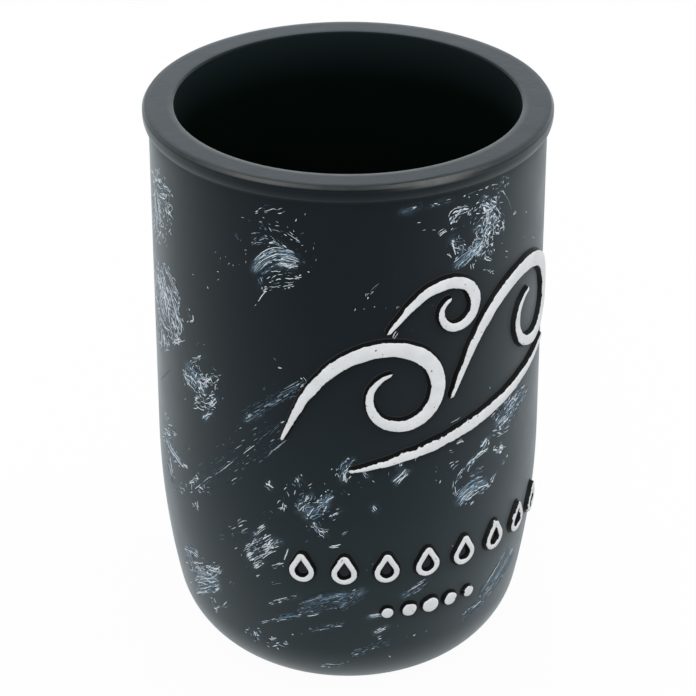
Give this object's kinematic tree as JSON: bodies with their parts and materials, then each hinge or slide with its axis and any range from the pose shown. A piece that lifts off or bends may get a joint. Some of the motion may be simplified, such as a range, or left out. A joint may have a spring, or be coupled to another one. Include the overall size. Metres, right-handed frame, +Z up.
{
  "type": "bathroom tumbler",
  "caption": "Round cast-resin bathroom tumbler with a rolled rim, rounded lower end, soft base pad and a raised white ornament of waves and drops.",
  "frame": {"origin": "centre of the base, on the surface that the tumbler stands on", "axes": "+Z up along the tumbler's axis, -Y out of the front, where the raised ornament is centred, +X to the right of someone who faces that front"},
  "size_m": [0.075, 0.075, 0.111],
  "materials": {
    "cast_resin": "matte charcoal blue cast resin with brushed pale blue marks",
    "soft_pad": "dull black closed-cell foam",
    "white_relief": "matte white paint on the raised relief, worn dark at its edges"
  },
  "bodies": {
    "root": {"cup_body": "cast_resin", "base_pad": "soft_pad", "wave_left": "white_relief", "wave_right": "white_relief", "wave_small": "white_relief", "sweep_line": "white_relief", "drop_row": "white_relief", "bubble_row": "white_relief"}
  },
  "joints": []
}
